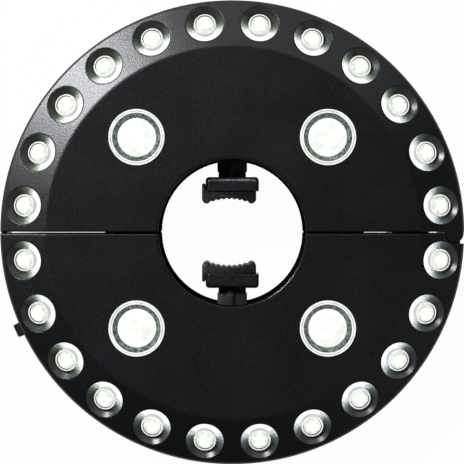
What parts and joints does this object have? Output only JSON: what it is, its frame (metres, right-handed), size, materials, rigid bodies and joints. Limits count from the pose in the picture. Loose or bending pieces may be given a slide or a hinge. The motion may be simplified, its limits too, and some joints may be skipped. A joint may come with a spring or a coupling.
{
  "type": "patio umbrella light",
  "caption": "Flat black ring light in two hinged halves that clamps round an umbrella pole with sprung rubber-faced jaws; lamps round the rim and on the face.",
  "frame": {"origin": "on the pole's axis, in the plane of the flat back", "axes": "+Z along the pole out of the lit face, +X towards the hinge, +Y towards the upper half of the picture"},
  "size_m": [0.205, 0.205, 0.0459],
  "materials": {
    "housing_plastic": "satin black with a fine moulded grain",
    "reflector_chrome": "bright vacuum-metallised plastic",
    "lamp_lens": "clear lens, lit",
    "board": "solder mask",
    "jaw_plastic": "moulded black, slightly glossy",
    "pad_rubber": "matt",
    "steel": "bright zinc",
    "cell_jacket": "plain jacket",
    "button_plastic": "satin",
    "switch_body": "moulded"
  },
  "bodies": {
    "upper_half": {"upper_front_cover": "housing_plastic", "upper_back_cover": "housing_plastic", "upper_rim_reflectors": "reflector_chrome", "upper_rim_lamps": "lamp_lens", "upper_spot_reflectors": "reflector_chrome", "upper_spot_lenses": "lamp_lens", "upper_spot_boards": "board", "upper_rim_board": "board", "upper_jaw_spring": "steel", "upper_battery_cells": "cell_jacket", "upper_battery_contacts": "steel", "upper_hook_pin": "steel", "upper_housing_screws": "steel", "catch_spring": "steel", "hinge_pin": "steel"},
    "lower_half": {"lower_front_cover": "housing_plastic", "lower_back_cover": "housing_plastic", "lower_rim_reflectors": "reflector_chrome", "lower_rim_lamps": "lamp_lens", "lower_spot_reflectors": "reflector_chrome", "lower_spot_lenses": "lamp_lens", "lower_spot_boards": "board", "lower_rim_board": "board", "lower_jaw_spring": "steel", "lower_battery_cells": "cell_jacket", "lower_battery_contacts": "steel", "lower_hook_pin": "steel", "lower_housing_screws": "steel", "mode_switch": "switch_body", "control_board": "board"},
    "upper_jaw": {"upper_jaw_slider": "jaw_plastic", "upper_jaw_pad": "pad_rubber"},
    "lower_jaw": {"lower_jaw_slider": "jaw_plastic", "lower_jaw_pad": "pad_rubber"},
    "upper_battery_door": {"upper_battery_door": "housing_plastic"},
    "lower_battery_door": {"lower_battery_door": "housing_plastic"},
    "upper_hook": {"upper_hook": "jaw_plastic"},
    "lower_hook": {"lower_hook": "jaw_plastic"},
    "power_button": {"power_button": "button_plastic", "switch_plunger": "button_plastic"}
  },
  "joints": [
    {"name": "main_hinge", "type": "hinge", "parent": "upper_half", "child": "lower_half", "pos_m": [0.098, 0, 0.02], "axis": [0, 0, 1], "range_deg": [0, 95], "deforming": ["catch_spring"]},
    {"name": "upper_jaw_slide", "type": "slide", "parent": "upper_half", "child": "upper_jaw", "axis": [0, 1, 0], "range_m": [0, 0.008], "stiffness_N_per_m": 300, "springref_m": -0.005, "deforming": ["upper_jaw_spring"]},
    {"name": "lower_jaw_slide", "type": "slide", "parent": "lower_half", "child": "lower_jaw", "axis": [0, -1, 0], "range_m": [0, 0.008], "stiffness_N_per_m": 300, "springref_m": -0.005, "deforming": ["lower_jaw_spring"]},
    {"name": "upper_battery_door_slide", "type": "slide", "parent": "upper_half", "child": "upper_battery_door", "axis": [-0.7071, 0.7071, 0], "range_m": [0, 0.046]},
    {"name": "lower_battery_door_slide", "type": "slide", "parent": "lower_half", "child": "lower_battery_door", "axis": [0.7071, -0.7071, 0], "range_m": [0, 0.046]},
    {"name": "upper_hook_hinge", "type": "hinge", "parent": "upper_half", "child": "upper_hook", "pos_m": [0.03253, 0.03253, 0.0027], "axis": [-0.7071, 0.7071, 0], "range_deg": [0, 95]},
    {"name": "lower_hook_hinge", "type": "hinge", "parent": "lower_half", "child": "lower_hook", "pos_m": [-0.03253, -0.03253, 0.0027], "axis": [0.7071, -0.7071, 0], "range_deg": [0, 95]},
    {"name": "power_button_press", "type": "slide", "parent": "lower_half", "child": "power_button", "axis": [0.9092, 0.4163, 0], "range_m": [0, 0.0012], "stiffness_N_per_m": 800, "springref_m": -0.0005}
  ]
}
